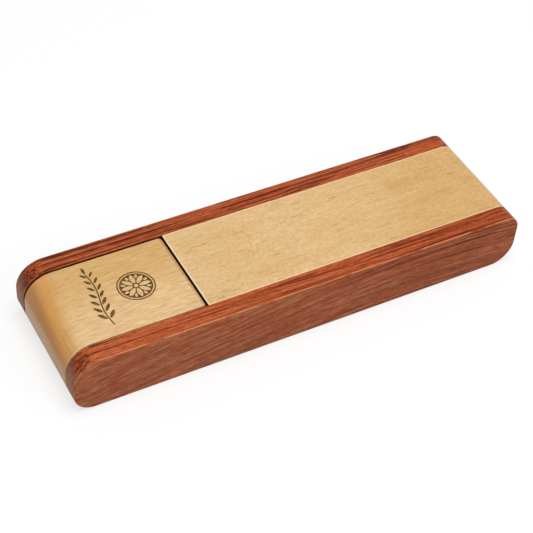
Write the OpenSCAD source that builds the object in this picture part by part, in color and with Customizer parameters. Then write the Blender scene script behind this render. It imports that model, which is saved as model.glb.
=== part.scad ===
// Wooden pen case with a flip-up end.
// Two hardwood rails hold a pale core between them: a floor panel, a top panel, an end block and
// two strips that leave a felt-lined channel for one pen. At one end the top is an L-shaped lid,
// which turns up on two short pins in the rails and is held shut by four disc magnets.
//
// X runs along the case with the lid at -X, Y runs across it with the front at -Y, and Z is up.
// The origin is the middle of the underside. Lengths are in millimetres.

/* [Case] */
// Length over both ends
case_length = 171.5; // [150:0.5:210]
// Width over both rails
case_width = 50.8; // [48:0.2:64]
// Height from the underside to the top face
case_height = 21.5; // [20.5:0.1:27]
// Thickness of each side rail
rail_thickness = 7.2; // [6:0.1:8]

/* [End curves] */
// Radius of the top corner at the lid end
lid_top_radius = 10; // [6:0.1:11]
// Radius of the bottom corner at the lid end
lid_bottom_radius = 7.3; // [4:0.1:8.5]
// Radius of the top corner at the fixed end
tail_top_radius = 5.6; // [3:0.1:9]
// Radius of the bottom corner at the fixed end
tail_bottom_radius = 9; // [4:0.1:10]

/* [Core] */
// Thickness of the floor panel
floor_thickness = 2.8; // [2.2:0.1:3.2]
// Thickness of the top panel, and of the lid over the channel
top_thickness = 3.2; // [2.6:0.1:3.5]
// Length of the block that closes the fixed end
end_block_length = 10; // [8:0.5:16]
// Width of the channel between the core strips
channel_width = 19; // [16:0.1:20]

/* [Lid] */
// Length of the lid along the top
lid_length = 50.75; // [42:0.25:60]
// Thickness of the lid's end wall
end_wall_thickness = 8; // [7:0.1:10]
// Height of the cheeks that lie on the strips
cheek_height = 8; // [6:0.1:9]
// Gap between the lid and each rail
lid_side_gap = 0.6; // [0.4:0.05:0.8]
// Gap between the lid and the top panel
lid_seam_gap = 0.35; // [0.3:0.05:0.6]
// Gap under the lid where it lies on the floor and the strips
lid_rest_gap = 0.3; // [0.2:0.05:0.4]
// Radius of the lid's rounded top edge at the seam
lid_nose_radius = 1.8; // [1.7:0.1:2.1]

/* [Hinge] */
// Depth of the pin's axis below the top face
pin_depth = 2.2; // [2.1:0.05:2.3]
// Distance of the pin's axis from the lid's hinge end
pin_setback = 2.2; // [2.1:0.05:2.6]
// Diameter of each pin
pin_diameter = 2; // [1.5:0.1:2.4]
// Depth of the pin in the rail
pin_in_rail = 4.5; // [3:0.1:5]
// Depth of the pin in the lid
pin_in_lid = 5.8; // [4:0.1:6.2]
// Clearance between a pin and what turns on it
running_clearance = 0.05; // [0.02:0.01:0.1]
// Diameter of the spacer washers
washer_diameter = 3.2; // [2.8:0.1:3.6]

/* [Magnets] */
// Diameter of each disc magnet
magnet_diameter = 5; // [3:0.1:5.5]
// Thickness of each disc magnet
magnet_thickness = 2; // [1:0.1:3]
// Distance of the magnets' centres from the lid's end wall
magnet_setback = 6; // [4:0.5:25]

/* [Lining] */
// Thickness of the felt in the channel
felt_thickness = 0.6; // [0.4:0.05:0.9]
// Thickness of the pad at the fixed end
tail_pad_thickness = 2; // [1:0.1:4]
// Thickness of the pad on the lid's end wall
lid_pad_thickness = 1.5; // [1:0.1:3]
// Margin between the lid's lining and what the lid swings past
lining_margin = 0.5; // [0.3:0.1:1.5]

/* [Hidden] */
$fn = 96;

rosewood = [0.56, 0.25, 0.17];
maple = [0.90, 0.77, 0.56];
brass = [0.78, 0.62, 0.34];
nickel = [0.75, 0.75, 0.77];
nylon = [0.07, 0.07, 0.07];
felt = [0.10, 0.09, 0.09];

// How far a cutter runs past the faces that it opens
overcut = 1;

// Along X
lid_end_x = -case_length / 2;
tail_end_x = case_length / 2;
hinge_end_x = lid_end_x + lid_length;
pin_x = hinge_end_x - pin_setback;
panel_start_x = hinge_end_x + lid_seam_gap;
wall_face_x = lid_end_x + end_wall_thickness;
strip_start_x = wall_face_x + lid_seam_gap;
block_face_x = tail_end_x - end_block_length;
magnet_x = wall_face_x + magnet_setback;

// Across, as half widths from the middle
core_half = case_width / 2 - rail_thickness;
lid_half = core_half - lid_side_gap;
channel_half = channel_width / 2;
magnet_y = (lid_half + channel_half) / 2;

// Upwards
ceiling_z = case_height - top_thickness;
pin_z = case_height - pin_depth;
cheek_z = case_height - cheek_height;
ledge_z = cheek_z - lid_rest_gap;
wall_foot_z = floor_thickness + lid_rest_gap;

// The corner of a square of side r, outside the quarter circle in it
module corner_waste(r) {
    difference() {
        square(r + overcut);
        circle(r = r);
    }
}

// Side view of the whole case, with X across and Z up
module case_outline() {
    difference() {
        translate([lid_end_x, 0]) square([case_length, case_height]);
        translate([lid_end_x + lid_top_radius, case_height - lid_top_radius])
            mirror([1, 0]) corner_waste(lid_top_radius);
        translate([lid_end_x + lid_bottom_radius, lid_bottom_radius])
            rotate(180) corner_waste(lid_bottom_radius);
        translate([tail_end_x - tail_top_radius, case_height - tail_top_radius])
            corner_waste(tail_top_radius);
        translate([tail_end_x - tail_bottom_radius, tail_bottom_radius])
            mirror([0, 1]) corner_waste(tail_bottom_radius);
    }
}

// The part of the side view between two heights and two places along the case
module outline_between(x0, x1, z0, z1) {
    intersection() {
        case_outline();
        translate([x0, z0]) square([x1 - x0, z1 - z0]);
    }
}

// A side view given its width, from y0 to y1
module across(y0, y1) {
    translate([0, y1, 0]) rotate([90, 0, 0]) linear_extrude(height = y1 - y0) children();
}

// A box by its two corners
module block(from, to) {
    translate(from) cube(to - from);
}

// What is drawn for the front, at -Y, turned to the rear
module to_rear() {
    mirror([0, 1, 0]) children();
}

// A cylinder along Y on the hinge axis, from y0 to y1
module on_hinge_axis(y0, y1, r) {
    translate([pin_x, y1, pin_z]) rotate([90, 0, 0]) cylinder(r = r, h = y1 - y0);
}

// A magnet's cylinder at the front, from z0 to z1
module on_magnet_axis(z0, z1) {
    translate([magnet_x, -magnet_y, z0]) cylinder(r = magnet_diameter / 2, h = z1 - z0);
}

module front_rail_shape() {
    color(rosewood) difference() {
        across(-case_width / 2, -core_half) case_outline();
        on_hinge_axis(-core_half - pin_in_rail, -core_half + overcut, pin_diameter / 2);
    }
}

module front_rail() {
    front_rail_shape();
}

module rear_rail() {
    to_rear() front_rail_shape();
}

module floor_panel() {
    color(maple) across(-core_half, core_half)
        outline_between(lid_end_x, tail_end_x, 0, floor_thickness);
}

module top_panel() {
    color(maple) across(-core_half, core_half)
        outline_between(panel_start_x, tail_end_x, ceiling_z, case_height);
}

module end_block() {
    color(maple) across(-core_half, core_half)
        outline_between(block_face_x, tail_end_x, floor_thickness, ceiling_z);
}

// Side view of a core strip: full height under the top panel, and a ledge under the lid
module strip_outline() {
    translate([strip_start_x, floor_thickness])
        square([block_face_x - strip_start_x, ledge_z - floor_thickness]);
    translate([panel_start_x, floor_thickness])
        square([block_face_x - panel_start_x, ceiling_z - floor_thickness]);
}

module front_core_strip_shape() {
    color(maple) difference() {
        across(-core_half, -channel_half) strip_outline();
        on_magnet_axis(ledge_z - magnet_thickness, ledge_z + overcut);
    }
}

module front_core_strip() {
    front_core_strip_shape();
}

module rear_core_strip() {
    to_rear() front_core_strip_shape();
}

// Side view of the lid: cheeks along the top, an end wall down to the floor, and a hinge end
// whose rounded nose and heel turn without leaving the gaps round them
module lid_outline() {
    difference() {
        union() {
            outline_between(lid_end_x, hinge_end_x, cheek_z, case_height);
            outline_between(lid_end_x, wall_face_x, wall_foot_z, case_height);
        }
        translate([hinge_end_x - lid_nose_radius, case_height - lid_nose_radius])
            corner_waste(lid_nose_radius);
        translate([pin_x, cheek_z + pin_setback]) mirror([0, 1]) corner_waste(pin_setback);
    }
}

// What is bored for the front pin and magnet, and again for the rear ones
module lid_bores() {
    on_hinge_axis(-lid_half - overcut, -lid_half + pin_in_lid + running_clearance,
        pin_diameter / 2 + running_clearance);
    on_magnet_axis(cheek_z - overcut, cheek_z + magnet_thickness);
}

module lid() {
    color(maple) difference() {
        across(-lid_half, lid_half) lid_outline();
        block([wall_face_x, -channel_half, 0], [hinge_end_x + overcut, channel_half, ceiling_z]);
        lid_bores();
        to_rear() lid_bores();
    }
}

module front_hinge_pin_shape() {
    color(brass) on_hinge_axis(-core_half - pin_in_rail, -lid_half + pin_in_lid, pin_diameter / 2);
}

module front_hinge_pin() {
    front_hinge_pin_shape();
}

module rear_hinge_pin() {
    to_rear() front_hinge_pin_shape();
}

module front_hinge_washer_shape() {
    color(nylon) difference() {
        on_hinge_axis(-core_half, -lid_half - running_clearance, washer_diameter / 2);
        on_hinge_axis(-core_half - overcut, -lid_half + overcut,
            pin_diameter / 2 + running_clearance);
    }
}

module front_hinge_washer() {
    front_hinge_washer_shape();
}

module rear_hinge_washer() {
    to_rear() front_hinge_washer_shape();
}

module front_case_magnet() {
    color(nickel) on_magnet_axis(ledge_z - magnet_thickness, ledge_z);
}

module rear_case_magnet() {
    to_rear() front_case_magnet();
}

module front_lid_magnet() {
    color(nickel) on_magnet_axis(cheek_z, cheek_z + magnet_thickness);
}

module rear_lid_magnet() {
    to_rear() front_lid_magnet();
}

module floor_felt() {
    color(felt) block(
        [strip_start_x, -channel_half, floor_thickness],
        [block_face_x, channel_half, floor_thickness + felt_thickness]);
}

// Side view of the felt on a strip, which follows the strip's ledge
module side_felt_outline() {
    felt_foot_z = floor_thickness + felt_thickness;
    translate([strip_start_x, felt_foot_z])
        square([block_face_x - strip_start_x, ledge_z - felt_foot_z]);
    translate([panel_start_x, felt_foot_z])
        square([block_face_x - panel_start_x, ceiling_z - felt_thickness - felt_foot_z]);
}

module front_side_felt() {
    color(felt) across(-channel_half, -channel_half + felt_thickness) side_felt_outline();
}

module rear_side_felt() {
    to_rear() front_side_felt();
}

module ceiling_felt() {
    color(felt) block(
        [panel_start_x, -channel_half, ceiling_z - felt_thickness],
        [block_face_x, channel_half, ceiling_z]);
}

module tail_pad() {
    pad_half = channel_half - felt_thickness;
    color(felt) block(
        [block_face_x - tail_pad_thickness, -pad_half, floor_thickness + felt_thickness],
        [block_face_x, pad_half, ceiling_z - felt_thickness]);
}

module lid_felt() {
    color(felt) block(
        [wall_face_x, -channel_half, ceiling_z - felt_thickness],
        [hinge_end_x - lining_margin, channel_half, ceiling_z]);
}

module lid_pad() {
    pad_half = channel_half - felt_thickness - lining_margin;
    color(felt) block(
        [wall_face_x, -pad_half, floor_thickness + felt_thickness + lining_margin],
        [wall_face_x + lid_pad_thickness, pad_half, ceiling_z - felt_thickness]);
}

front_rail();
rear_rail();
floor_panel();
top_panel();
end_block();
front_core_strip();
rear_core_strip();
lid();
front_hinge_pin();
rear_hinge_pin();
front_hinge_washer();
rear_hinge_washer();
front_case_magnet();
rear_case_magnet();
front_lid_magnet();
rear_lid_magnet();
floor_felt();
front_side_felt();
rear_side_felt();
ceiling_felt();
tail_pad();
lid_felt();
lid_pad();
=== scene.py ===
"""A wooden pen case: two rosewood rails on a maple core, with an engraved lid that flips up."""
import math
from contextlib import contextmanager

import bmesh
import bpy
from bpy.props import FloatProperty, FloatVectorProperty, IntProperty, PointerProperty
from bpy.types import Operator, Panel, PropertyGroup
from mathutils import Matrix, Vector, noise


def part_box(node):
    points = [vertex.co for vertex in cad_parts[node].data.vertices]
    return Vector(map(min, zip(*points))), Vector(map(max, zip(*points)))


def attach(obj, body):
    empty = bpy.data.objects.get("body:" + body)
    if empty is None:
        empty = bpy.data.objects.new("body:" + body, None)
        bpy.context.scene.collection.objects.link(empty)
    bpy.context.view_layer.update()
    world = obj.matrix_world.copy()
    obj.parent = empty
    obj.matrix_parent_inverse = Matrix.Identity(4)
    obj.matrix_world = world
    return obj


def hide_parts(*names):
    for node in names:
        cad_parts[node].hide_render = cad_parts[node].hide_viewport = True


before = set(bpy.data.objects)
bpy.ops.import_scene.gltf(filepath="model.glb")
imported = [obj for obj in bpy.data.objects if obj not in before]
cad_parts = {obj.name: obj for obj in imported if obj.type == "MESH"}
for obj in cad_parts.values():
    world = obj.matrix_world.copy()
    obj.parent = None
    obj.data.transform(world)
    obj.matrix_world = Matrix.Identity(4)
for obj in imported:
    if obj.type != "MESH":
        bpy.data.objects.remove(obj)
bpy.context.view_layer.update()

bl_info = {
    "name": "Pen Case",
    "version": (1, 0, 0),
    "blender": (4, 5, 0),
    "location": "View3D > Sidebar > Pen Case",
    "description": "Makes a wooden pen case: rails, core, flip-up lid, linings and hardware",
    "category": "Add Mesh",
}

MM = 0.001
# Two places closer than this are the same place
NEAR = 0.02 * MM
# A cut closer than this to a corner runs through it
CUT_NEAR = NEAR / 10
# Edges that turn by more than the first are rounded. Those that turn by less than the second are
# shaded smooth
ROUNDED_TURN = math.radians(40)
SMOOTH_TURN = math.radians(30)
# Faces whose normals agree this closely belong to one curved surface
SAME_SURFACE = 0.85
# Facets across an eased edge, a rail's outer edge and the lid's hinge end
EASE_STEPS = 3
ROUNDOVER_STEPS = 5
HINGE_END_STEPS = 12

# Between the rosewood's dark growth lines, and between the maple's rings, in millimetres
LINE_SPACING = 2.4
RING_SPACING = 2.1
# The middle of the rosewood's arched figure along X, its half width and its height, in millimetres
ARCH_MIDDLE = 36.0
ARCH_HALF = 40.0
ARCH_HEIGHT = 7.0
# For an end with painted shade that a piece doesn't have
NOWHERE = -1000.0

# Felt: its edges' radius and facets, how close its surface is divided, and the lengths of its waves
FELT_EDGE = 0.15 * MM
FELT_EDGE_STEPS = 2
FELT_SPACING = 2.5 * MM
FELT_WAVE = 3.5 * MM
FELT_RIPPLE = 1.1 * MM
# A pad's edge radius, as a share of its half thickness
PAD_EDGE = 0.3

# The medallion's parts, as shares of its radius. A leaf is (how far out, length, width)
RING_INNER = 0.93
GROUND = 0.86
HUB = 0.11
PETAL = (0.48, 0.62, 0.26)
SEED = (0.66, 0.26, 0.15)
# How far the sprig lies towards the front, as a share of its length, and how its leaves lean
SPRIG_SHIFT = 0.03
LEAF_LEAN = math.radians(38)

# The floor's half width in case lengths, and how far it lies below the case
FLOOR_REACH = 12
FLOOR_DROP = 0.1 * MM
# The lamps: name, place and width in case lengths, and share of the main lamp's power
LAMPS = (
    ("key", (0.3, -0.6, 5.4), 3.0, 1.0),
    ("fill", (2.0, -3.8, 3.2), 1.0, 0.2),
)


# ---------------------------------------------------------------
# Sizes and colours
# ---------------------------------------------------------------

def length(name, description, millimetres):
    return FloatProperty(
        name=name, description=description, default=millimetres * MM, min=0.0,
        precision=5, subtype="DISTANCE", unit="LENGTH")


def angle(name, description, degrees):
    return FloatProperty(
        name=name, description=description, default=math.radians(degrees),
        subtype="ANGLE", unit="ROTATION")


def colour(name, description, red, green, blue):
    return FloatVectorProperty(
        name=name, description=description, default=(red, green, blue),
        min=0.0, max=1.0, size=3, subtype="COLOR")


class CaseSizes(PropertyGroup):
    """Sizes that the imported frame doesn't give"""
    rail_roundover: length("Rail roundover", "Radius along the rails' outer edges", 0.5)
    lid_corner: length("Lid corner", "Radius of the lid's corners beside the seam", 1.8)
    edge_ease: length("Edge ease", "Radius of the sanded edges round the lid", 0.32)
    corner_steps: IntProperty(
        name="Corner steps", description="Facets in a quarter turn", default=24, min=4)
    engraving_depth: length("Engraving depth", "Depth of the burnt ornament", 0.25)
    medallion_radius: length("Medallion radius", "Outer radius of the ornament's ring", 6.6)
    medallion_setback: length("Medallion setback", "From the hinge end to its centre", 17.6)
    petals: IntProperty(name="Petals", description="Petals in the medallion", default=8, min=3)
    sprig_setback: length("Sprig setback", "From the hinge end to the sprig's stem", 31.0)
    sprig_length: length("Sprig length", "Length of the sprig across the lid", 25.0)
    sprig_pairs: IntProperty(name="Leaf pairs", description="Pairs of leaves", default=7, min=2)
    nap_height: length("Nap height", "How far the felt's surface rises and falls", 0.05)


class CaseColours(PropertyGroup):
    """Colours of the woods, the metals and the felt"""
    rosewood_salmon: colour("Rosewood, light", "Light streaks", 0.60, 0.158, 0.055)
    rosewood_red: colour("Rosewood, main", "Most of the wood", 0.45, 0.081, 0.018)
    rosewood_dark: colour("Rosewood, dark", "Dark bands", 0.24, 0.034, 0.004)
    # Sides: partly their open grain, partly a painted sheen that makes them paler and greyer than
    # the top
    rosewood_side_grain_and_sheen: colour("Rosewood, sides", "Open grain on the sides", 0.43, 0.128, 0.052)
    rosewood_tan: colour("Rosewood, tan", "Pale streaks on the sides", 0.52, 0.215, 0.110)
    rosewood_end: colour("Rosewood, ends", "End grain", 0.37, 0.19, 0.11)
    # Painted highlight along the rails' rounded outer edges
    rosewood_edge_highlight: colour("Rosewood, worn", "Sanded and handled edges", 0.64, 0.24, 0.11)
    rosewood_line: colour("Rosewood, lines", "Dark growth lines and pores", 0.085, 0.010, 0.001)
    maple_pale: colour("Maple, pale", "Most of the top panel", 0.755, 0.520, 0.258)
    maple_warm: colour("Maple, warm", "Warmer wood towards the fixed end", 0.63, 0.375, 0.135)
    maple_end: colour("Maple, ends", "End grain of the core", 0.50, 0.36, 0.195)
    maple_fleck: colour("Maple, flecks", "Short flecks along the grain", 0.42, 0.205, 0.055)
    maple_mark: colour("Maple, marks", "Dark short marks along the grain", 0.46, 0.205, 0.035)
    # Painted highlight: a pale band along the panel's long borders and beside the seam
    maple_highlight: colour("Maple, sanded", "Fresh wood on the eased edges", 0.90, 0.74, 0.50)
    lid_cream: colour("Lid, cream", "Palest part of the lid's top", 0.79, 0.555, 0.295)
    lid_straw: colour("Lid, straw", "Most of the lid's top", 0.69, 0.44, 0.18)
    lid_amber: colour("Lid, amber", "End grain round the lid's curve", 0.71, 0.355, 0.105)
    lid_honey: colour("Lid, honey", "Darkest of the end grain, below the curve", 0.52, 0.225, 0.066)
    lid_wall: colour("Lid, wall", "End grain on the upright wall", 0.60, 0.360, 0.185)
    # Painted highlight on the lid's eased edges, and painted light on its side walls
    lid_painted_light: colour("Lid, sanded", "Fresh wood on its sides and eased edges", 0.86, 0.62, 0.33)
    # Painted shade: near-black faces inside the narrow gaps
    painted_gap_shade: colour("Gap, black", "Stained faces inside the gaps", 0.018, 0.005, 0.002)
    burnt_deep: colour("Burnt, deep", "Darkest of the engraving", 0.070, 0.034, 0.010)
    burnt_light: colour("Burnt, light", "Lightest of the engraving", 0.26, 0.140, 0.042)
    felt_black: colour("Felt", "Wool of the linings and pads", 0.012, 0.011, 0.012)
    brass: colour("Brass", "Hinge pins", 0.74, 0.50, 0.20)
    nickel: colour("Nickel", "Plating of the magnets", 0.62, 0.61, 0.59)
    nylon: colour("Nylon", "Hinge washers", 0.012, 0.012, 0.013)


class CaseStage(PropertyGroup):
    """The camera, the floor and the light"""
    azimuth: angle("Azimuth", "Camera's turn about the case", -31.36)
    elevation: angle("Elevation", "Camera's height above the floor", 44.74)
    roll: angle("Roll", "Camera's tilt about its own axis", 4.7)
    distance: length("Distance", "From the camera to what it looks at", 512.44)
    aim_ahead: length("Aim ahead", "From the middle towards the lid", 2.71)
    aim_height: length("Aim height", "Height that the camera looks at", 9.66)
    lens: FloatProperty(name="Lens", description="Focal length in mm", default=98.86, min=1.0)
    sky: FloatProperty(name="Sky", description="Strength of the even light", default=0.5, min=0.0)
    key: FloatProperty(name="Key", description="Power of the main lamp in W", default=5.0, min=0.0)


# ---------------------------------------------------------------
# Places that the frame gives
# ---------------------------------------------------------------

def flat_reach(node, height):
    """Where a node's flat face at that height starts and ends along X."""
    along = [v.co.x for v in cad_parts[node].data.vertices if abs(v.co.z - height) < NEAR]
    return min(along), max(along)


rail_low, rail_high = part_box("front_rail")
panel_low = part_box("top_panel")[0]
lid_low, lid_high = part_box("lid")
lid_felt_low, lid_felt_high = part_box("lid_felt")
pin_low, pin_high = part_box("front_hinge_pin")

top_z = rail_high.z
top_start, top_end = flat_reach("front_rail", top_z)
base_start, base_end = flat_reach("front_rail", rail_low.z)
lid_top_end = flat_reach("lid", top_z)[1]
channel_half = lid_felt_high.y
ceiling_z = panel_low.z
cheek_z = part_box("front_lid_magnet")[0].z
wall_face_x = lid_felt_low.x
hinge_x = (pin_low.x + pin_high.x) / 2
hinge_z = (pin_low.z + pin_high.z) / 2
# Between the lid and what it turns against
running = lid_low.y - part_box("front_hinge_washer")[1].y

# For patterns, which are laid out in millimetres
rail_inner_mm = -rail_high.y / MM
seam_mm = panel_low.x / MM

# The outline's corners: (end, level) and the radius of each
CORNERS = (
    (rail_low.x, top_z, top_start - rail_low.x),
    (rail_high.x, top_z, rail_high.x - top_end),
    (rail_low.x, rail_low.z, base_start - rail_low.x),
    (rail_high.x, rail_low.z, rail_high.x - base_end),
)


# ---------------------------------------------------------------
# Shaping
# ---------------------------------------------------------------

def add_block(bm, low, high):
    low, high = Vector(low), Vector(high)
    place = Matrix.Translation((low + high) / 2) @ Matrix.Diagonal((*(high - low), 1))
    return bmesh.ops.create_cube(bm, size=1, matrix=place)["verts"]


def edges_on(bm, x=None, y=None, z=None):
    """Edges that lie wholly at the given coordinates."""
    wanted = [(axis, value) for axis, value in enumerate((x, y, z)) if value is not None]
    return [
        e for e in bm.edges
        if all(abs(v.co[axis] - value) < NEAR for v in e.verts for axis, value in wanted)
    ]


def round_edges(bm, edges, radius, steps):
    bmesh.ops.bevel(
        bm, geom=edges, offset=radius, offset_type="OFFSET", segments=steps, profile=0.5,
        affect="EDGES", material=-1, clamp_overlap=False)


def divide(bm, place, away, clear_outer=False):
    """Cuts along the plane through a place that faces away, and may drop what lies past it."""
    whole = bm.verts[:] + bm.edges[:] + bm.faces[:]
    return bmesh.ops.bisect_plane(
        bm, geom=whole, dist=CUT_NEAR, plane_co=place, plane_no=away, clear_outer=clear_outer)


def trim(bm, place, away):
    """Cuts off what lies past a place on the side that away points to, and closes the cut."""
    cut = divide(bm, place, away, clear_outer=True)
    rim = [e for e in cut["geom_cut"] if isinstance(e, bmesh.types.BMEdge)]
    if rim:
        bmesh.ops.edgeloop_fill(bm, edges=rim)


def case_slice(low, high, steps):
    """The part of the case's rounded outline between two corners."""
    bm = bmesh.new()
    add_block(bm, (rail_low.x, low.y, rail_low.z), (rail_high.x, high.y, rail_high.z))
    for end, level, radius in CORNERS:
        round_edges(bm, edges_on(bm, x=end, z=level), radius, steps)
    if low.x > top_start:
        trim(bm, low, (-1, 0, 0))
    if high.x < top_end:
        trim(bm, high, (1, 0, 0))
    if low.z > rail_low.z + NEAR:
        trim(bm, low, (0, 0, -1))
    if high.z < rail_high.z - NEAR:
        trim(bm, high, (0, 0, 1))
    return bm


def sharp_edges(bm):
    return [e for e in bm.edges if len(e.link_faces) == 2 and e.calc_face_angle() > ROUNDED_TURN]


def thicken(bm, height):
    """Raises level faces into a closed solid of that height."""
    grown = bmesh.ops.extrude_face_region(bm, geom=bm.faces[:])
    moved = [v for v in grown["geom"] if isinstance(v, bmesh.types.BMVert)]
    bmesh.ops.translate(bm, verts=moved, vec=(0, 0, height))


@contextmanager
def reshaped(mesh):
    """Opens a mesh for changes, and puts it back with its faces turned outwards."""
    bm = bmesh.new()
    bm.from_mesh(mesh)
    yield bm
    bmesh.ops.recalc_face_normals(bm, faces=bm.faces[:])
    bm.to_mesh(mesh)
    bm.free()


def mark_facing(mesh):
    """Stores, at each face corner, how far the smoothed surface faces along X, Y and Z."""
    bm = bmesh.new()
    bm.from_mesh(mesh)
    bm.normal_update()
    layer = bm.loops.layers.float_vector.new("facing")
    for face in bm.faces:
        for corner in face.loops:
            around = Vector()
            for other in corner.vert.link_faces:
                if other.normal.dot(face.normal) > SAME_SURFACE:
                    around += other.normal * other.calc_area()
            corner[layer] = [abs(part) for part in around.normalized()]
    bm.to_mesh(mesh)
    bm.free()


def facing(tree):
    """The stored facing as X, Y and Z outputs: X is the end grain, Y the sides."""
    stored = add(tree, "Attribute", attribute_name="facing").outputs["Vector"]
    return add(tree, "SeparateXYZ", {"Vector": stored}).outputs


def shade(mesh):
    mesh.shade_smooth()
    mesh.set_sharp_from_angle(angle=SMOOTH_TURN)


def new_mesh(name, bm, material):
    """Turns a bmesh into a mesh, with its faces turned outwards."""
    mesh = bpy.data.meshes.new(name)
    bmesh.ops.recalc_face_normals(bm, faces=bm.faces[:])
    bm.to_mesh(mesh)
    bm.free()
    mesh.materials.append(material)
    return mesh


def new_object(name, data):
    thing = bpy.data.objects.new(name, data)
    bpy.context.scene.collection.objects.link(thing)
    return thing


def new_piece(name, bm, material, body):
    """Makes an object of a bmesh, which stands where it was modelled and rides on a body."""
    mesh = new_mesh(name, bm, material)
    shade(mesh)
    piece = new_object(name, mesh)
    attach(piece, body)
    return piece


def carve(piece, cutter, material=None):
    """Cuts a closed bmesh out of a piece, whose new walls take the given material."""
    mesh = new_mesh("cutter", cutter, material or piece.data.materials[0])
    tool = new_object("cutter", mesh)
    cut = piece.modifiers.new("cut", "BOOLEAN")
    cut.operation = "DIFFERENCE"
    cut.solver = "EXACT"
    cut.material_mode = "TRANSFER"
    cut.object = tool
    seen = bpy.context.evaluated_depsgraph_get()
    carved = bpy.data.meshes.new_from_object(piece.evaluated_get(seen))
    carved.name = piece.data.name
    piece.modifiers.remove(cut)
    piece.data = carved
    bpy.data.objects.remove(tool)
    bpy.data.meshes.remove(mesh)


# ---------------------------------------------------------------
# Materials
# ---------------------------------------------------------------

def add(tree, kind, inputs=(), **settings):
    """Adds a shader node. An input is a socket to link or a value to set."""
    node = tree.nodes.new("ShaderNode" + kind)
    for name, value in settings.items():
        setattr(node, name, value)
    for name, value in dict(inputs).items():
        if isinstance(value, bpy.types.NodeSocket):
            tree.links.new(value, node.inputs[name])
        else:
            node.inputs[name].default_value = value
    return node


def calculate(tree, operation, first, second=0.0, third=0.0):
    return add(tree, "Math", {0: first, 1: second, 2: third}, operation=operation).outputs[0]


def times(tree, first, second):
    return calculate(tree, "MULTIPLY", first, second)


def ramp(tree, factor, start, end, low=0.0, high=1.0):
    """Goes smoothly from low to high as factor goes from start to end."""
    return add(
        tree, "MapRange",
        {"Value": factor, "From Min": start, "From Max": end, "To Min": low, "To Max": high},
        interpolation_type="SMOOTHSTEP").outputs["Result"]


def mix(tree, factor, first, second, blend_type="MIX"):
    """Mixes two colours, each a socket or three numbers."""
    whole = [c if isinstance(c, bpy.types.NodeSocket) else (*c, 1.0) for c in (first, second)]
    return add(
        tree, "Mix", {0: factor, 6: whole[0], 7: whole[1]},
        data_type="RGBA", blend_type=blend_type).outputs[2]


def millimetres(tree, turn=(0.0, 0.0, 0.0), shift=(0.0, 0.0, 0.0)):
    """The piece's own coordinates in millimetres, turned by degrees about X, Y and Z."""
    place = add(tree, "TexCoord").outputs["Object"]
    return add(tree, "Mapping", {
        "Vector": place, "Scale": (1 / MM,) * 3,
        "Rotation": [math.radians(a) for a in turn], "Location": shift}).outputs["Vector"]


def mottle(tree, place, spacing, detail=2.0, roughness=0.5, distortion=0.0):
    """Noise whose features are spacing millimetres apart along X, Y and Z."""
    near = add(tree, "Mapping", {"Vector": place, "Scale": [1 / s for s in spacing]})
    return add(tree, "TexNoise", {
        "Vector": near.outputs["Vector"], "Scale": 1.0, "Detail": detail,
        "Roughness": roughness, "Distortion": distortion}).outputs["Fac"]


def new_material(name):
    material = bpy.data.materials.new(name)
    material.use_nodes = True
    material.node_tree.nodes.clear()
    return material, material.node_tree


def finish_material(material, tree, base, bump, bump_height, **sockets):
    """Joins a colour and a height to the surface. Other values go to the shader's own sockets."""
    inputs = {"Base Color": base}
    for name, value in sockets.items():
        inputs[name.replace("_", " ").title().replace("Ior", "IOR")] = value
    inputs["Normal"] = add(
        tree, "Bump", {"Height": bump, "Strength": 1.0, "Distance": bump_height * MM}
    ).outputs["Normal"]
    shader = add(tree, "BsdfPrincipled", inputs)
    add(tree, "OutputMaterial", {"Surface": shader.outputs["BSDF"]})
    return material


def growth(tree, across, upward, wander, share):
    """Distance from the middle of the tree in millimetres, which wanders by a share of a noise."""
    squares = calculate(
        tree, "ADD", calculate(tree, "POWER", across, 2.0), calculate(tree, "POWER", upward, 2.0))
    return calculate(tree, "MULTIPLY_ADD", wander, share, calculate(tree, "SQRT", squares))


def waves(tree, distance, spacing):
    """Rises and falls between -1 and 1 over a distance, once in each spacing."""
    return calculate(tree, "SINE", times(tree, distance, math.tau / spacing))


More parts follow.
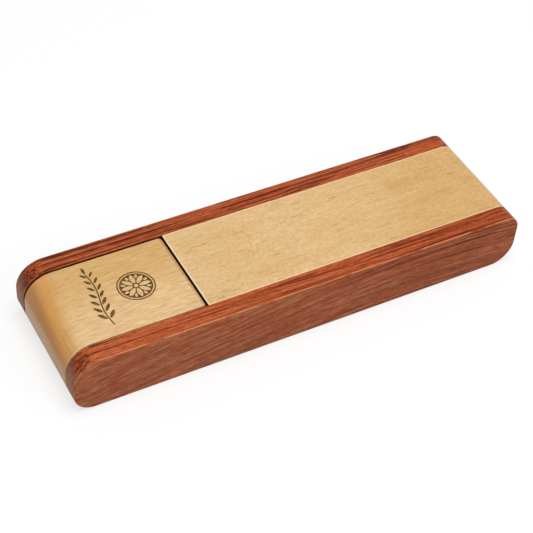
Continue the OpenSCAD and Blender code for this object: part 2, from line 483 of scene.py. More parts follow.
def rosewood(name, turn, shift, pith, line_start, drift):
    """Red-brown wood cut on the quarter, so that its lines run close on top and broad at the side.

    pith is the middle of the tree, in millimetres across Y and Z. A lower line_start gives more
    dark lines. The wood grows darker along X as drift goes up.
    """
    tones = bpy.context.scene.pen_case_colours
    material, tree = new_material(name)
    place = millimetres(tree, turn, shift)
    split = add(tree, "SeparateXYZ", {"Vector": place}).outputs
    own = add(tree, "SeparateXYZ", {"Vector": millimetres(tree)}).outputs
    faces = facing(tree)
    side, end = faces["Y"], faces["X"]

    sway = mottle(tree, place, (45.0, 9.0, 7.0))
    arch = calculate(tree, "MULTIPLY_ADD", own["X"], 1 / ARCH_HALF, -ARCH_MIDDLE / ARCH_HALF)
    arch = calculate(tree, "ADD", calculate(tree, "POWER", arch, 2.0), 1.0)
    arch = times(tree, times(tree, calculate(tree, "SQRT", arch), ARCH_HEIGHT), side)
    across = calculate(tree, "SUBTRACT", split["Y"], pith[0])
    upward = calculate(tree, "SUBTRACT", split["Z"], pith[1])
    rings = growth(tree, across, upward, sway, 1.6)
    upward = calculate(tree, "ADD", upward, arch)
    grain = add(tree, "CombineXYZ", {"X": split["X"], "Y": rings, "Z": upward}).outputs["Vector"]

    bands = mottle(tree, grain, (60.0, 1.7, 3.8))
    streaks = mottle(tree, grain, (34.0, 0.42, 1.0), detail=3.0, roughness=0.6)
    lines = mottle(tree, grain, (60.0, 0.9, 0.8), detail=1.0, roughness=0.4)
    breaks = mottle(tree, place, (7.0, 1.4, 1.4))
    fibre = mottle(tree, place, (3.6, 0.38, 0.38), detail=3.0, roughness=0.75)
    pores = mottle(tree, place, (2.6, 0.22, 0.22), detail=1.0)
    rays = mottle(tree, place, (3.5, 0.42, 6.0), roughness=0.6)

    warmth = calculate(tree, "MULTIPLY_ADD", own["X"], -0.5 * drift, bands)
    tone = mix(tree, ramp(tree, warmth, 0.34, 0.56), tones.rosewood_dark, tones.rosewood_red)
    glow = calculate(tree, "MULTIPLY_ADD", own["X"], -drift, streaks)
    tone = mix(tree, ramp(tree, glow, 0.44, 0.64, 0.0, 0.9), tone, tones.rosewood_salmon)
    tone = mix(tree, ramp(tree, streaks, 0.46, 0.30, 0.0, 0.4), tone, tones.rosewood_line)
    # The sides take their own tone: partly open grain, partly a painted sheen
    tone = mix(tree, ramp(tree, side, 0.3, 1.0, 0.0, 0.56), tone, tones.rosewood_side_grain_and_sheen)
    pale = times(tree, ramp(tree, glow, 0.48, 0.62, 0.0, 0.62), side)
    tone = mix(tree, pale, tone, tones.rosewood_tan)

    lines = calculate(tree, "MULTIPLY_ADD", waves(tree, rings, LINE_SPACING), 0.06, lines)
    lines = calculate(tree, "MULTIPLY_ADD", own["X"], 0.8 * drift, lines)
    line = times(
        tree, ramp(tree, lines, line_start, line_start + 0.045, 0.0, 0.9),
        ramp(tree, breaks, 0.30, 0.46, 0.55, 1.0))
    plain = times(tree, side, ramp(tree, own["X"], 0.0, 55.0, 0.80, 0.20))
    line = times(tree, line, calculate(tree, "SUBTRACT", 1.0, plain))
    tone = mix(tree, line, tone, tones.rosewood_line)
    pitted = times(tree, ramp(tree, pores, 0.60, 0.74), ramp(tree, side, 0.0, 1.0, 0.65, 0.3))
    tone = mix(tree, pitted, tone, tones.rosewood_line)
    shadow = (0.40, 0.31, 0.27)
    tone = mix(tree, ramp(tree, fibre, 0.42, 0.64, 0.0, 0.72), tone, shadow, "MULTIPLY")

    turned = ramp(tree, own["X"], -40.0, 40.0, 0.70, 0.25)
    tone = mix(tree, ramp(tree, end, turned, 0.97, 0.0, 0.75), tone, tones.rosewood_end)
    hatch = times(tree, ramp(tree, rays, 0.40, 0.58, 0.9, 0.1), ramp(tree, end, 0.2, 0.6))
    hatch = times(tree, hatch, ramp(tree, end, 0.80, 1.0, 1.0, 0.4))
    hatch = times(tree, hatch, ramp(tree, own["X"], -40.0, 40.0, 1.0, 0.4))
    tone = mix(tree, hatch, tone, tones.rosewood_line)

    # Painted highlight: a lighter band along the rails' rounded outer edges, broken up by noise
    lean = times(tree, side, calculate(tree, "SUBTRACT", 1.0, side))
    painted_arris_highlight = times(tree, ramp(tree, lean, 0.10, 0.20, 0.0, 0.85), ramp(tree, breaks, 0.34, 0.54))
    tone = mix(tree, painted_arris_highlight, tone, tones.rosewood_edge_highlight)
    # Painted shade: the rails' inner walls turn near-black beside the lid's gaps
    depth = calculate(tree, "ABSOLUTE", own["Y"])
    wall = times(
        tree, ramp(tree, depth, rail_inner_mm + 0.02, rail_inner_mm + 0.12, 1.0, 0.0),
        ramp(tree, side, 0.5, 0.9, 0.0, 0.86))
    tone = mix(tree, wall, tone, tones.painted_gap_shade)
    return finish_material(
        material, tree, tone, bump=pores, bump_height=-0.03,
        roughness=ramp(tree, fibre, 0.3, 0.7, 0.46, 0.58), specular_ior_level=0.10)


def maple(name, shift, warm_from, warm_to, painted_shade_end):
    """Pale close-grained wood with faint mottling and short flecks.

    It warms along X from one place to another. At painted_shade_end its end face gets painted
    shade, near-black, with a band of painted highlight just past it. Its long borders get a painted
    highlight too.
    """
    tones = bpy.context.scene.pen_case_colours
    material, tree = new_material(name)
    place = millimetres(tree, (0.0, 1.0, 0.8), shift)
    own = add(tree, "SeparateXYZ", {"Vector": millimetres(tree)}).outputs
    along = own["X"]
    cloud = mottle(tree, place, (30.0, 10.0, 10.0))
    curl = mottle(tree, place, (0.8, 1.3, 1.3), roughness=0.6)
    fibre = mottle(tree, place, (6.0, 0.35, 0.35), detail=3.0, roughness=0.6)
    figure = mottle(tree, place, (26.0, 1.3, 1.3), distortion=1.2)
    flecks = mottle(tree, place, (6.5, 0.42, 0.42), detail=0.0)
    threads = mottle(tree, place, (17.0, 0.28, 0.28), detail=0.0)
    patches = mottle(tree, place, (12.0, 5.0, 5.0), detail=0.0)

    warmth = times(tree, ramp(tree, along, warm_from, warm_to), 0.7)
    warmth = calculate(tree, "ADD", warmth, ramp(tree, cloud, 0.40, 0.66, 0.0, 0.35))
    tone = mix(tree, warmth, tones.maple_pale, tones.maple_warm)
    tone = mix(tree, ramp(tree, curl, 0.38, 0.64, 0.0, 0.26), tone, tones.maple_fleck)
    tone = mix(tree, ramp(tree, fibre, 0.42, 0.66, 0.0, 0.30), tone, tones.maple_fleck)
    arcs = times(
        tree, ramp(tree, figure, 0.50, 0.62), ramp(tree, along, warm_from, warm_to, 0.03, 0.10))
    tone = mix(tree, arcs, tone, tones.maple_fleck)
    marks = calculate(
        tree, "MAXIMUM", ramp(tree, flecks, 0.71, 0.78), ramp(tree, threads, 0.75, 0.80, 0.0, 0.7))
    marks = times(tree, marks, ramp(tree, patches, 0.48, 0.60))
    tone = mix(tree, marks, tone, tones.maple_mark)
    depth = calculate(tree, "ABSOLUTE", own["Y"])
    # Painted highlight: a pale band along the panel's borders with the rails
    rim = ramp(tree, depth, rail_inner_mm - 0.55, rail_inner_mm - 0.25, 0.0, 0.5)
    tone = mix(tree, rim, tone, tones.maple_highlight)
    end = facing(tree)["X"]
    tone = mix(tree, ramp(tree, end, 0.2, 0.9, 0.0, 0.85), tone, tones.maple_end)
    split = add(tree, "SeparateXYZ", {"Vector": place}).outputs
    across = calculate(tree, "SUBTRACT", split["Y"], 6.0)
    upward = calculate(tree, "ADD", split["Z"], 34.0)
    rings = waves(tree, growth(tree, across, upward, cloud, 5.0), RING_SPACING)
    grown = times(tree, ramp(tree, rings, 0.2, 1.0, 0.0, 0.45), ramp(tree, end, 0.5, 1.0))
    tone = mix(tree, grown, tone, tones.maple_fleck)
    pores = mottle(tree, place, (2.0, 0.22, 0.22), detail=1.0)
    pitted = times(tree, ramp(tree, pores, 0.52, 0.72, 0.0, 0.5), ramp(tree, end, 0.5, 1.0))
    tone = mix(tree, pitted, tone, tones.maple_fleck)
    # Painted highlight: a pale band just past the seam end
    painted_light = ramp(tree, along, painted_shade_end + 0.34, painted_shade_end + 0.50, 0.95, 0.0)
    tone = mix(tree, painted_light, tone, tones.maple_highlight)
    # Painted shade: the seam's end face turns near-black
    painted_seam_shade = ramp(tree, along, painted_shade_end + 0.01, painted_shade_end + 0.05, 1.0, 0.0)
    tone = mix(tree, painted_seam_shade, tone, tones.painted_gap_shade)
    return finish_material(
        material, tree, tone, bump=fibre, bump_height=0.012,
        roughness=ramp(tree, cloud, 0.3, 0.7, 0.38, 0.48), specular_ior_level=0.25)


def lid_maple(name):
    """Straw-coloured straight-grained wood, amber where its end grain takes the finish."""
    tones = bpy.context.scene.pen_case_colours
    material, tree = new_material(name)
    place = millimetres(tree, (0.0, 0.0, -1.0))
    own = add(tree, "SeparateXYZ", {"Vector": millimetres(tree)}).outputs
    faces = facing(tree)
    seam = ramp(tree, own["X"], seam_mm - 9.0, seam_mm - 4.0)
    end = times(tree, faces["X"], calculate(tree, "SUBTRACT", 1.0, seam))
    cloud = mottle(tree, place, (24.0, 9.0, 16.0))
    lines = mottle(tree, place, (7.0, 0.34, 0.9), detail=3.0, roughness=0.62)
    rings = mottle(tree, place, (0.8, 20.0, 0.34), detail=3.0, roughness=0.6)
    fibre = mottle(tree, place, (2.4, 0.3, 2.5))

    pale = calculate(tree, "MULTIPLY_ADD", cloud, 8.0, own["Y"])
    tone = mix(tree, ramp(tree, pale, -6.0, 14.0), tones.lid_cream, tones.lid_straw)
    deep = calculate(tree, "MULTIPLY_ADD", own["Y"], 0.009, end)
    turned = calculate(tree, "MULTIPLY_ADD", cloud, 0.5, deep)
    tone = mix(tree, ramp(tree, turned, 0.32, 0.80), tone, tones.lid_amber)
    tone = mix(tree, ramp(tree, deep, 0.66, 0.92), tone, tones.lid_honey)
    tone = mix(tree, ramp(tree, end, 0.95, 1.0), tone, tones.lid_wall)
    # Painted shade: darker wood on the rounded nose beside the seam
    nose = ramp(tree, own["X"], seam_mm - 2.2, seam_mm - 0.8, 0.0, 0.45)
    tone = mix(tree, nose, tone, tones.maple_fleck)
    # Painted highlight on the eased edges, and painted light on the side walls
    tone = mix(tree, ramp(tree, faces["Y"], 0.10, 0.35, 0.0, 0.7), tone, tones.lid_painted_light)
    grown = times(tree, ramp(tree, rings, 0.40, 0.62), ramp(tree, end, 0.15, 0.7, 0.0, 0.28))
    tone = mix(tree, grown, tone, tones.maple_fleck)
    drawn = times(tree, ramp(tree, lines, 0.40, 0.64), ramp(tree, end, 0.1, 0.5, 0.46, 0.0))
    tone = mix(tree, drawn, tone, tones.maple_fleck)
    tone = mix(tree, ramp(tree, fibre, 0.38, 0.66, 0.0, 0.26), tone, tones.maple_fleck)
    return finish_material(
        material, tree, tone, bump=lines, bump_height=0.01,
        roughness=ramp(tree, fibre, 0.3, 0.7, 0.36, 0.46), specular_ior_level=0.18)


def burnt(name):
    """Charred floor and walls of the engraving, uneven as the heat leaves them."""
    tones = bpy.context.scene.pen_case_colours
    material, tree = new_material(name)
    place = millimetres(tree)
    char = mottle(tree, place, (1.4, 0.35, 0.5), detail=4.0, roughness=0.7)
    tone = mix(tree, ramp(tree, char, 0.38, 0.66), tones.burnt_deep, tones.burnt_light)
    return finish_material(
        material, tree, tone, bump=char, bump_height=0.06,
        roughness=ramp(tree, char, 0.3, 0.7, 0.75, 0.95), specular_ior_level=0.08)


def felt(name):
    """Black wool felt, matted and a little dusty."""
    tones = bpy.context.scene.pen_case_colours
    material, tree = new_material(name)
    place = millimetres(tree)
    wool = mottle(tree, place, (0.35, 0.35, 0.35), detail=5.0, roughness=0.75, distortion=1.5)
    lint = mottle(tree, place, (4.0, 4.0, 4.0), detail=3.0)
    tone = mix(tree, ramp(tree, wool, 0.35, 0.75, 0.0, 0.08), tones.felt_black, (0.5, 0.47, 0.45))
    tone = mix(tree, ramp(tree, lint, 0.55, 0.75, 0.0, 0.06), tone, (0.4, 0.38, 0.36))
    return finish_material(
        material, tree, tone, bump=wool, bump_height=0.12, roughness=0.95,
        specular_ior_level=0.15, sheen_weight=0.35, sheen_roughness=0.5)


def metal(name, base, turning, roughness):
    """Bright metal with fine marks: turning is their spacing along X, Y and Z."""
    material, tree = new_material(name)
    place = millimetres(tree)
    marks = mottle(tree, place, turning, detail=3.0, roughness=0.6)
    smear = mottle(tree, place, (1.5, 1.5, 1.5))
    dull = [c * 0.6 for c in base]
    tone = mix(tree, ramp(tree, smear, 0.4, 0.7, 0.0, 0.6), tuple(base), dull)
    return finish_material(
        material, tree, tone, bump=marks, bump_height=0.008, metallic=1.0,
        roughness=ramp(tree, marks, 0.3, 0.7, roughness, roughness + 0.18))


def plastic(name, base):
    """Moulded plastic with a fine matt texture."""
    material, tree = new_material(name)
    place = millimetres(tree)
    grain = mottle(tree, place, (0.12, 0.12, 0.12))
    lighter = tuple(c * 2.5 for c in base)
    tone = mix(tree, ramp(tree, grain, 0.4, 0.7), tuple(base), lighter)
    return finish_material(
        material, tree, tone, bump=grain, bump_height=0.01, roughness=0.5, specular_ior_level=0.5)


def shared(name, make, *details):
    """The material of that name, made the first time that it is asked for."""
    return bpy.data.materials.get(name) or make(name, *details)


def front_rosewood():
    return shared(
        "rosewood_front", rosewood, (0.0, 1.3, 0.4), (31.0, 0.0, 0.0), (38.6, 7.0), 0.635, 0.0006)


def rear_rosewood():
    return shared(
        "rosewood_rear", rosewood, (0.0, -1.0, -0.6), (-47.0, 3.0, 5.0), (-42.2, 9.0), 0.56, 0.0001)


def panel_maple():
    return shared("panel_maple", maple, (0.0, 0.0, 0.0), 10.0, 76.0, seam_mm)


def core_maple():
    return shared("core_maple", maple, (31.0, 17.0, 9.0), 60.0, 240.0, NOWHERE)


# ---------------------------------------------------------------
# The case
# ---------------------------------------------------------------

def dress(nodes, material):
    """Gives CAD nodes that are shown as they are a better material."""
    for name in nodes:
        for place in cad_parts[name].material_slots:
            place.material = material


class PENCASE_OT_rails(Operator):
    """Models the two rosewood rails, with rounded ends and eased outer edges"""
    bl_idname = "pen_case.rails"
    bl_label = "Rails"

    def execute(self, context):
        sizes = context.scene.pen_case_sizes
        for side, wood in (("front", front_rosewood()), ("rear", rear_rosewood())):
            node = side + "_rail"
            low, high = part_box(node)
            bm = case_slice(low, high, sizes.corner_steps)
            outer = low.y if side == "front" else high.y
            round_edges(bm, edges_on(bm, y=outer), sizes.rail_roundover, ROUNDOVER_STEPS)
            piece = new_piece(node + "_wood", bm, wood, "case")
            mark_facing(piece.data)
            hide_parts(node)
        return {"FINISHED"}


class PENCASE_OT_core(Operator):
    """Models the maple floor, top panel and end block, and finishes the strips between them"""
    bl_idname = "pen_case.core"
    bl_label = "Core"

    def execute(self, context):
        sizes = context.scene.pen_case_sizes
        pieces = (
            ("floor_panel", core_maple()),
            ("top_panel", panel_maple()),
            ("end_block", core_maple()),
        )
        for node, wood in pieces:
            low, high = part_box(node)
            bm = case_slice(low, high, sizes.corner_steps)
            if node == "top_panel":
                round_edges(bm, edges_on(bm, x=low.x, z=high.z), sizes.edge_ease, EASE_STEPS)
            piece = new_piece(node + "_wood", bm, wood, "case")
            mark_facing(piece.data)
            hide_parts(node)
        dress(("front_core_strip", "rear_core_strip"), core_maple())
        return {"FINISHED"}


def add_rod(bm, middle, axis, radius, half_length, steps=48):
    """A closed cylinder about a point, along X, Y or Z."""
    turn = Vector((0, 0, 1)).rotation_difference(Vector(axis)).to_matrix().to_4x4()
    bmesh.ops.create_cone(
        bm, cap_ends=True, segments=steps, radius1=radius, radius2=radius,
        depth=2 * half_length, matrix=Matrix.Translation(middle) @ turn)


def loop_edges(verts):
    """The edges at a loop's vertices, each once and in a fixed order."""
    return list(dict.fromkeys(e for v in verts for e in v.link_edges))


def add_leaf(bm, middle, turn, long, wide, steps=20):
    """The outline of a pointed leaf on a level plane: its loop of edges."""
    place = Matrix.Translation(middle) @ Matrix.Rotation(turn, 4, "Z")
    loop = bmesh.ops.create_circle(bm, cap_ends=False, segments=steps, radius=1)["verts"]
    for v in loop:
        v.co = place @ Vector((v.co.x * long / 2, v.co.y * abs(v.co.y) ** 0.35 * wide / 2, 0))
    return loop_edges(loop)


def add_ring(bm, middle, radius, steps=72):
    place = Matrix.Translation(middle)
    loop = bmesh.ops.create_circle(bm, cap_ends=False, segments=steps, radius=radius, matrix=place)
    return loop_edges(loop["verts"])


def fill_flat(bm, edges):
    """Fills the level region between loops."""
    bmesh.ops.triangle_fill(bm, edges=edges, use_beauty=True)


def corner_waste(middle, radius, low_z, high_z, side):
    """What a rounded corner of the lid leaves over: a square plate with a round hole, quartered."""
    bm = bmesh.new()
    place = Matrix.Translation((middle.x, middle.y, low_z))
    rim = bmesh.ops.create_circle(
        bm, cap_ends=False, segments=4, radius=3 * radius,
        matrix=place @ Matrix.Rotation(math.pi / 4, 4, "Z"))["verts"]
    square = loop_edges(rim)
    hole = add_ring(bm, Vector((middle.x, middle.y, low_z)), radius, 64)
    fill_flat(bm, square + hole)
    thicken(bm, high_z - low_z)
    trim(bm, middle, (-1, 0, 0))
    trim(bm, middle, (0, -side, 0))
    return bm


def medallion(bm, middle, radius, petals):
    """A ring round a burnt ground on which petals, seeds and a hub are left standing."""
    fill_flat(bm, add_ring(bm, middle, radius) + add_ring(bm, middle, radius * RING_INNER))
    edges = add_ring(bm, middle, radius * GROUND) + add_ring(bm, middle, radius * HUB, 24)
    for i in range(petals):
        for shift, (away, long, wide) in ((0, PETAL), (math.pi / petals, SEED)):
            turn = math.tau * i / petals + shift
            out = Vector((math.cos(turn), math.sin(turn), 0))
            edges += add_leaf(
                bm, middle + out * radius * away, turn, radius * long, radius * wide)
    fill_flat(bm, edges)


def sprig(bm, middle, length_y, pairs):
    """A wavy stem across the lid, with leaves on both sides and one at its tip."""
    stem_width = length_y * 0.018
    wave = length_y * 0.03
    leaf_long = length_y * 0.155
    leaf_wide = length_y * 0.052

    def stem_x(y):
        return wave * math.sin(math.tau * y / length_y)

    place = Matrix.Translation(middle) @ Matrix.Diagonal((stem_width / 2, length_y / 2, 1, 1))
    stem = bmesh.ops.create_grid(bm, x_segments=1, y_segments=48, size=1, matrix=place)["verts"]
    for v in stem:
        v.co.x += stem_x(v.co.y - middle.y)
    step = length_y / (pairs + 0.5)
    for i in range(pairs):
        y = -length_y / 2 + step * (i + 0.9)
        shrink = 1 - 0.35 * i / pairs
        for side in (-1, 1):
            turn = math.pi / 2 - side * LEAF_LEAN
            reach = leaf_long * shrink / 2 + stem_width
            out = Vector((math.cos(turn), math.sin(turn), 0)) * reach
            root = middle + Vector((stem_x(y) + side * stem_width * 0.6, y, 0))
            fill_flat(bm, add_leaf(bm, root + out, turn, leaf_long * shrink, leaf_wide * shrink))
    tip = middle + Vector((stem_x(length_y / 2), length_y / 2 + leaf_long * 0.45, 0))
    fill_flat(bm, add_leaf(bm, tip, math.pi / 2, leaf_long * 0.8, leaf_wide * 0.8))


def engraving(sizes):
    """The closed cutter of the whole ornament, through the lid's top face."""
    bm = bmesh.new()
    level = top_z - sizes.engraving_depth
    medallion(
        bm, Vector((lid_high.x - sizes.medallion_setback, 0, level)),
        sizes.medallion_radius, sizes.petals)
    sprig(
        bm, Vector((lid_high.x - sizes.sprig_setback, -sizes.sprig_length * SPRIG_SHIFT, level)),
        sizes.sprig_length, sizes.sprig_pairs)
    thicken(bm, 2 * sizes.engraving_depth)
    return bm


def lid_bores(past):
    """The cutters of the pins' holes and the magnets' pockets, which run past the lid's faces."""
    bm = bmesh.new()
    pin_radius = (pin_high.z - pin_low.z) / 2
    for side in (-1, 1):
        inner = -side * (pin_high.y + running)
        outer = side * (lid_high.y + past)
        middle = Vector((hinge_x, (inner + outer) / 2, hinge_z))
        add_rod(bm, middle, (0, 1, 0), pin_radius + running, abs(outer - inner) / 2)
        magnet_low, magnet_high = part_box(("front" if side < 0 else "rear") + "_lid_magnet")
        middle = (magnet_low + magnet_high) / 2
        deep = magnet_high.z - magnet_low.z
        middle.z = magnet_low.z
        add_rod(bm, middle, (0, 0, 1), (magnet_high.x - magnet_low.x) / 2, deep)
    return bm


class PENCASE_OT_lid(Operator):
    """Models the lid: a curved end wall, cheeks that ride on the pins, and an engraved top"""
    bl_idname = "pen_case.lid"
    bl_label = "Lid"

    def execute(self, context):
        sizes = context.scene.pen_case_sizes
        wood = shared("lid_straw_maple", lid_maple)
        char = shared("burnt_engraving", burnt)
        past = 1 * MM
        bm = case_slice(lid_low, lid_high, sizes.corner_steps)
        piece = new_piece("lid_wood", bm, wood, "lid")

        for half, ceiling in ((lid_high.y + past, cheek_z), (channel_half, ceiling_z)):
            hollow = bmesh.new()
            add_block(
                hollow, (wall_face_x, -half, lid_low.z - past), (lid_high.x + past, half, ceiling))
            carve(piece, hollow)

        nose = lid_high.x - lid_top_end
        heel = lid_high.x - hinge_x
        with reshaped(piece.data) as bm:
            round_edges(bm, edges_on(bm, x=lid_high.x, z=top_z), nose, HINGE_END_STEPS)
            round_edges(bm, edges_on(bm, x=lid_high.x, z=cheek_z), heel, HINGE_END_STEPS)
        radius = sizes.lid_corner
        for side in (-1, 1):
            middle = Vector((lid_high.x - radius, side * (lid_high.y - radius), 0))
            carve(piece, corner_waste(middle, radius, cheek_z - past, top_z + past, side))

        with reshaped(piece.data) as bm:
            round_edges(bm, sharp_edges(bm), sizes.edge_ease, EASE_STEPS)

        carve(piece, lid_bores(past))
        carve(piece, engraving(sizes), char)
        shade(piece.data)
        mark_facing(piece.data)
        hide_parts("lid")
        return {"FINISHED"}


# ---------------------------------------------------------------
# Linings, pads and hardware
# ---------------------------------------------------------------

def felt_from(node, nap):
    """A lining cut to a node's outline, with soft edges and a surface that rises and falls."""
    bm = bmesh.new()
    bm.from_mesh(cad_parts[node].data)
    bmesh.ops.remove_doubles(bm, verts=bm.verts[:], dist=NEAR)
    bmesh.ops.dissolve_limit(
        bm, angle_limit=math.radians(1), verts=bm.verts[:], edges=bm.edges[:])
    low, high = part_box(node)
    round_edges(bm, sharp_edges(bm), FELT_EDGE, FELT_EDGE_STEPS)
    for axis in range(3):
        count = int((high[axis] - low[axis]) / FELT_SPACING)
        for i in range(1, count):
            place = low.copy()
            place[axis] = low[axis] + (high[axis] - low[axis]) * i / count
            away = [0.0, 0.0, 0.0]
            away[axis] = 1.0
            divide(bm, place, away)
    bmesh.ops.recalc_face_normals(bm, faces=bm.faces[:])
    bm.normal_update()
    for v in bm.verts:
        rise = noise.noise(v.co / FELT_WAVE) * 0.6 + noise.noise(v.co / FELT_RIPPLE) * 0.4
        v.co -= v.normal * nap * (0.5 - 0.5 * rise)
    return bm


def crowned_pad(low, high, crown, pinch, steps=14):
    """A stuffed felt pad: its faces swell, and its sides pull in between its corners."""
    middle, half = (low + high) / 2, (high - low) / 2
    bm = bmesh.new()
    add_block(bm, (-1, -1, -1), (1, 1, 1))
    bmesh.ops.subdivide_edges(bm, edges=bm.edges[:], cuts=steps, use_grid_fill=True)
    for v in bm.verts:
        across, up = v.co.y, v.co.z
        swell = 1 - crown * (1 - (1 - across ** 4) * (1 - up ** 4))
        v.co = Vector((
            middle.x + half.x * v.co.x * swell,
            middle.y + half.y * across * (1 - pinch * (1 - up ** 2)),
            middle.z + half.z * up * (1 - pinch * (1 - across ** 2))))
    round_edges(bm, sharp_edges(bm), PAD_EDGE * min(half), EASE_STEPS)
    return bm


class PENCASE_OT_linings(Operator):
    """Models the felt in the channel and under the lid"""
    bl_idname = "pen_case.linings"
    bl_label = "Linings"

    def execute(self, context):
        sizes = context.scene.pen_case_sizes
        linings = (
            ("floor_felt", "case", "floor_panel"),
            ("ceiling_felt", "case", "top_panel"),
            ("front_side_felt", "case", "front_core_strip"),
            ("rear_side_felt", "case", "rear_core_strip"),
            ("lid_felt", "lid", "lid"),
        )
        for node, body, backing in linings:
            bm = felt_from(node, sizes.nap_height)
            spread = sum(f.calc_area() for f in bm.faces) / 2
            piece = new_piece(node + "_nap", bm, shared("black_felt", felt), body)
            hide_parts(node)
        return {"FINISHED"}


class PENCASE_OT_pads(Operator):
    """Models the felt pads that meet the pen's two ends"""
    bl_idname = "pen_case.pads"
    bl_label = "Pads"

    def execute(self, context):
        for node, body in (("tail_pad", "case"), ("lid_pad", "lid")):
            low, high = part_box(node)
            bm = crowned_pad(low, high, crown=0.3, pinch=0.025)
            piece = new_piece(node + "_felt", bm, shared("black_felt", felt), body)
            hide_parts(node)
        return {"FINISHED"}


class PENCASE_OT_hardware(Operator):
    """Finishes the hinge pins, the washers and the magnets"""
    bl_idname = "pen_case.hardware"
    bl_label = "Hardware"

    def execute(self, context):
        tones = context.scene.pen_case_colours
        brass = shared("turned_brass", metal, tones.brass, (3.0, 0.08, 3.0), 0.24)
        nickel = shared("nickel_plate", metal, tones.nickel, (0.2, 0.2, 0.2), 0.16)
        nylon = shared("black_nylon", plastic, tones.nylon)
        both = ("front", "rear")
        dress([side + "_hinge_pin" for side in both], brass)
        dress([side + "_hinge_washer" for side in both], nylon)
        dress([side + "_case_magnet" for side in both], nickel)
        dress([side + "_lid_magnet" for side in both], nickel)
        return {"FINISHED"}


# ---------------------------------------------------------------
# The stage
# ---------------------------------------------------------------

def backdrop_rays(tree):
    """1 for the rays that show the background: the camera's, and those in gloss and glass."""
    rays = add(tree, "LightPath").outputs
    seen = calculate(tree, "MAXIMUM", rays["Is Camera Ray"], rays["Is Glossy Ray"])
    return calculate(tree, "MAXIMUM", seen, rays["Is Transmission Ray"])


def floor_finish(name):
    """Plain pale floor that looks nearly white to the camera and still takes a shadow."""
    material, tree = new_material(name)
    place = millimetres(tree)
    cloud = mottle(tree, place, (220.0, 220.0, 220.0))
    paint = mix(tree, ramp(tree, cloud, 0.3, 0.7), (0.60, 0.60, 0.60), (0.62, 0.62, 0.61))
    lit = add(tree, "BsdfDiffuse", {"Color": paint}).outputs["BSDF"]
    pale = add(tree, "BsdfDiffuse", {"Color": (0.97, 0.97, 0.97, 1.0)}).outputs["BSDF"]
    white = add(tree, "Emission", {"Color": (1.0, 1.0, 1.0, 1.0), "Strength": 1.0}).outputs[0]
    shown = add(tree, "MixShader", {0: 0.72, 1: pale, 2: white}).outputs[0]
    whole = add(tree, "MixShader", {0: backdrop_rays(tree), 1: lit, 2: shown}).outputs[0]
    add(tree, "OutputMaterial", {"Surface": whole})
    return material


def lamp(name, place, width, power):
    """A square lamp that shines at the middle of the case."""
    light = bpy.data.lights.new(name, "AREA")
    light.shape = "SQUARE"
    light.size = width
    light.energy = power
    holder = new_object(name, light)
    holder.location = place
    holder.rotation_euler = (-place).to_track_quat("-Z", "Y").to_euler()


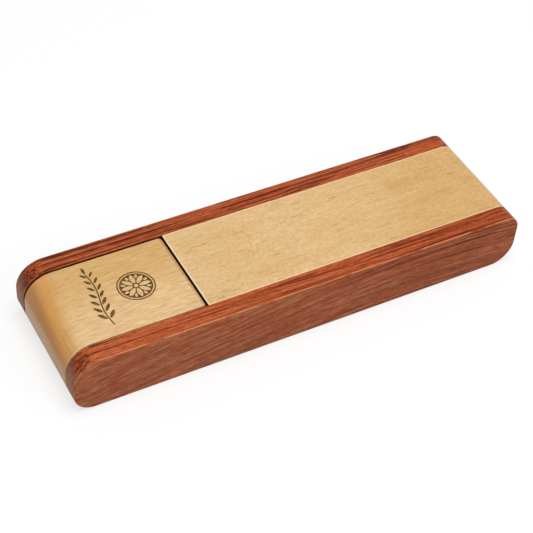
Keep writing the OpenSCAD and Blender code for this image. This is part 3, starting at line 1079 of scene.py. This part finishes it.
class PENCASE_OT_stage(Operator):
    """Makes the floor, the even light, the lamps and the camera"""
    bl_idname = "pen_case.stage"
    bl_label = "Stage"

    def execute(self, context):
        scene = context.scene
        stage = scene.pen_case_stage
        reach = rail_high.x - rail_low.x

        bm = bmesh.new()
        bmesh.ops.create_grid(
            bm, x_segments=8, y_segments=8, size=FLOOR_REACH * reach,
            matrix=Matrix.Translation((0, 0, rail_low.z - FLOOR_DROP)))
        mesh = bpy.data.meshes.new("floor")
        bm.to_mesh(mesh)
        bm.free()
        mesh.materials.append(floor_finish("pale_floor"))
        floor = new_object("floor", mesh)

        world = bpy.data.worlds.new("even_light")
        world.use_nodes = True
        tree = world.node_tree
        tree.nodes.clear()
        even = add(tree, "Background", {"Color": (1.0, 1.0, 1.0, 1.0), "Strength": stage.sky})
        white = add(tree, "Background", {"Color": (1.0, 1.0, 1.0, 1.0), "Strength": 1.0})
        both = add(tree, "MixShader", {
            0: backdrop_rays(tree), 1: even.outputs[0], 2: white.outputs[0]})
        add(tree, "OutputWorld", {"Surface": both.outputs[0]})
        scene.world = world

        for name, place, width, share in LAMPS:
            lamp(name, Vector([p * reach for p in place]), width * reach, stage.key * share)

        back = Vector((
            math.sin(stage.azimuth) * math.cos(stage.elevation),
            -math.cos(stage.azimuth) * math.cos(stage.elevation),
            math.sin(stage.elevation)))
        camera = bpy.data.cameras.new("camera")
        camera.lens = stage.lens
        camera.sensor_width = 36.0
        camera.clip_start = stage.distance * 0.05
        camera.clip_end = stage.distance * 40
        holder = new_object("camera", camera)
        holder.location = Vector((-stage.aim_ahead, 0, stage.aim_height)) + back * stage.distance
        towards = (-back).to_track_quat("-Z", "Y").to_matrix()
        holder.rotation_euler = (towards @ Matrix.Rotation(stage.roll, 3, "Z")).to_euler()
        scene.camera = holder
        scene.view_settings.view_transform = "Standard"
        return {"FINISHED"}


# ---------------------------------------------------------------
# The add-on
# ---------------------------------------------------------------

OPERATORS = (
    PENCASE_OT_stage,
    PENCASE_OT_rails,
    PENCASE_OT_core,
    PENCASE_OT_lid,
    PENCASE_OT_linings,
    PENCASE_OT_pads,
    PENCASE_OT_hardware,
)


class PENCASE_PT_tools(Panel):
    """Lists the steps that make the case"""
    bl_idname = "PENCASE_PT_tools"
    bl_label = "Pen Case"
    bl_space_type = "VIEW_3D"
    bl_region_type = "UI"
    bl_category = "Pen Case"

    def draw(self, context):
        for group in ("pen_case_sizes", "pen_case_colours", "pen_case_stage"):
            box = self.layout.box()
            settings = getattr(context.scene, group)
            for name in settings.__annotations__:
                box.prop(settings, name)
        for operator in OPERATORS:
            self.layout.operator(operator.bl_idname)


GROUPS = (
    ("pen_case_sizes", CaseSizes),
    ("pen_case_colours", CaseColours),
    ("pen_case_stage", CaseStage),
)


def register():
    for name, group in GROUPS:
        bpy.utils.register_class(group)
        setattr(bpy.types.Scene, name, PointerProperty(type=group))
    for item in (*OPERATORS, PENCASE_PT_tools):
        bpy.utils.register_class(item)


def unregister():
    for item in (PENCASE_PT_tools, *reversed(OPERATORS)):
        bpy.utils.unregister_class(item)
    for name, group in reversed(GROUPS):
        delattr(bpy.types.Scene, name)
        bpy.utils.unregister_class(group)


def main():
    register()
    bpy.ops.pen_case.stage()
    bpy.ops.pen_case.rails()
    bpy.ops.pen_case.core()
    bpy.ops.pen_case.lid()
    bpy.ops.pen_case.linings()
    bpy.ops.pen_case.pads()
    bpy.ops.pen_case.hardware()


if __name__ == "__main__":
    main()
